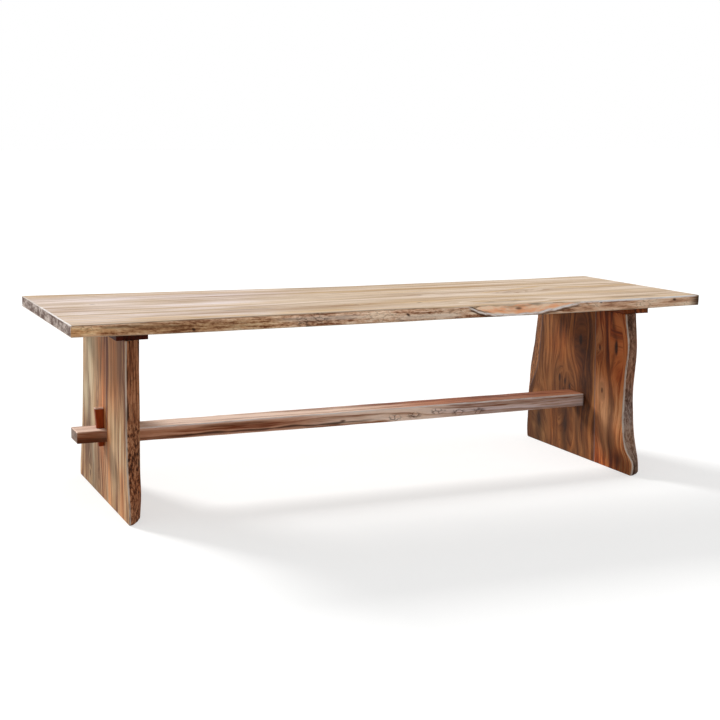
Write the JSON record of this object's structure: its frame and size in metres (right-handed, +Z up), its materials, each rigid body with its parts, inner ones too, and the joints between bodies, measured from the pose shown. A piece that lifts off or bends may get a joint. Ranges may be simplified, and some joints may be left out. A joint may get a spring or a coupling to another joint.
{
  "type": "live edge dining table",
  "caption": "Long trestle dining table with a live edge plank top, slab legs and a low stretcher locked by tusk wedges in through tenons.",
  "frame": {"origin": "on the floor, under the middle of the table's outline", "axes": "+X along the table, +Y to the back, +Z up"},
  "size_m": [2.6, 1.072, 0.75],
  "materials": {
    "top_wood": "satin oiled slab wood, pale tan with amber bands",
    "left_leg_wood": "satin oiled slab wood, greyish tan, rough brown bark edge",
    "right_leg_wood": "satin oiled slab wood, reddish brown, grey weathered bark edge",
    "cleat_wood": "plain dark brown planed wood",
    "stretcher_wood": "satin oiled wood, pinkish tan above and reddish brown on the sides",
    "wedge_wood": "satin oiled reddish brown wood",
    "tongue_wood": "plain pale beech",
    "screw_steel": "zinc plated steel"
  },
  "bodies": {
    "table": {"top_board_front": "top_wood", "top_board_middle": "top_wood", "top_board_back": "top_wood", "left_leg_front_board": "left_leg_wood", "left_leg_back_board": "left_leg_wood", "right_leg_front_board": "right_leg_wood", "right_leg_back_board": "right_leg_wood", "left_cleat": "cleat_wood", "right_cleat": "cleat_wood", "stretcher": "stretcher_wood", "top_front_seam_tongues": "tongue_wood", "top_back_seam_tongues": "tongue_wood", "left_leg_tongues": "tongue_wood", "right_leg_tongues": "tongue_wood", "left_leg_screws": "screw_steel", "right_leg_screws": "screw_steel", "left_top_screws": "screw_steel", "right_top_screws": "screw_steel"},
    "left_wedge": {"left_wedge": "wedge_wood"},
    "right_wedge": {"right_wedge": "wedge_wood"}
  },
  "joints": [
    {"name": "left_wedge_lift", "type": "slide", "parent": "table", "child": "left_wedge", "axis": [0, 0, 1], "range_m": [0, 0.085]},
    {"name": "right_wedge_lift", "type": "slide", "parent": "table", "child": "right_wedge", "axis": [0, 0, 1], "range_m": [0, 0.085]}
  ]
}
